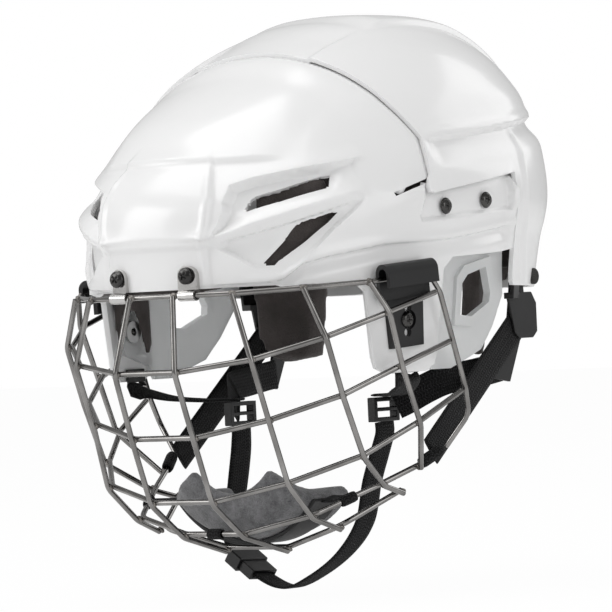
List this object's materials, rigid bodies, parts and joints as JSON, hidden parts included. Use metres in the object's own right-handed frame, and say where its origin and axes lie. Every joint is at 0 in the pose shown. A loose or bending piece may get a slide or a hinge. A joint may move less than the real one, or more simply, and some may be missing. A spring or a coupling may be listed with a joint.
{
  "type": "ice hockey helmet",
  "caption": "Two-piece hard shell sport helmet with foam liner, hinged wire face cage, ear guards, chin cup and webbing chin strap.",
  "frame": {"origin": "centre of the head cavity, where a head sits", "axes": "the wearer looks along -Y, the wearer's left is +X, the crown is +Z"},
  "size_m": [0.2254, 0.2924, 0.304],
  "materials": {
    "shell": "glossy",
    "clear_guard": "frosted",
    "steel_wire": "satin",
    "bracket_steel": "satin",
    "dark_screw": "satin",
    "black_plastic": "matte",
    "webbing": "woven",
    "foam": "matte",
    "felt": "felt"
  },
  "bodies": {
    "front_half": {"front_shell": "shell", "adjust_screws": "dark_screw", "adjust_t_nuts": "dark_screw", "front_brackets": "bracket_steel", "bracket_screws": "dark_screw", "bracket_t_nuts": "dark_screw", "cage_clip_left": "black_plastic", "cage_clip_right": "black_plastic", "clip_screws": "dark_screw", "clip_t_nuts": "dark_screw", "ear_guard_left": "clear_guard", "ear_guard_right": "clear_guard", "forehead_pad": "foam", "front_side_pad_left": "foam", "front_side_pad_right": "foam", "temple_pad_left": "foam", "temple_pad_right": "foam", "front_crown_pad": "foam", "chin_strap": "webbing", "chin_strap_slider_left": "black_plastic", "chin_strap_slider_right": "black_plastic", "chin_strap_front_leg_left": "webbing", "chin_strap_front_leg_right": "webbing", "chin_strap_lobe_tab_left": "black_plastic", "chin_strap_lobe_tab_right": "black_plastic", "buckle_frame": "black_plastic", "buckle_tongue": "black_plastic"},
    "rear_half": {"rear_shell": "shell", "rear_crown_pad": "foam", "rear_side_pad_left": "foam", "rear_side_pad_right": "foam", "nape_pad": "foam", "rear_clip_left": "black_plastic", "rear_clip_right": "black_plastic", "chin_strap_yoke_left": "black_plastic", "chin_strap_yoke_right": "black_plastic", "chin_strap_rivets": "dark_screw", "chin_strap_rear_leg_left": "webbing", "chin_strap_rear_leg_right": "webbing"},
    "cage": {"cage_top_bar": "steel_wire", "cage_bar_1": "steel_wire", "cage_bar_2": "steel_wire", "cage_bar_3": "steel_wire", "cage_bar_4": "steel_wire", "cage_chin_bar": "steel_wire", "cage_uprights": "steel_wire", "chin_pad": "felt", "chin_pad_carrier": "black_plastic", "chin_pad_side_tab_left": "webbing", "chin_pad_side_tab_right": "webbing", "chin_pad_front_tab": "webbing", "cage_strap_left": "webbing", "cage_strap_right": "webbing"}
  },
  "joints": [
    {"name": "cage_swing", "type": "hinge", "parent": "front_half", "child": "cage", "pos_m": [0, -0.13343, -0.03192], "axis": [-1, 0, 0], "range_deg": [0, 95]},
    {"name": "shell_slide", "type": "slide", "parent": "front_half", "child": "rear_half", "axis": [0, 1, 0], "range_m": [0, 0.01]}
  ]
}
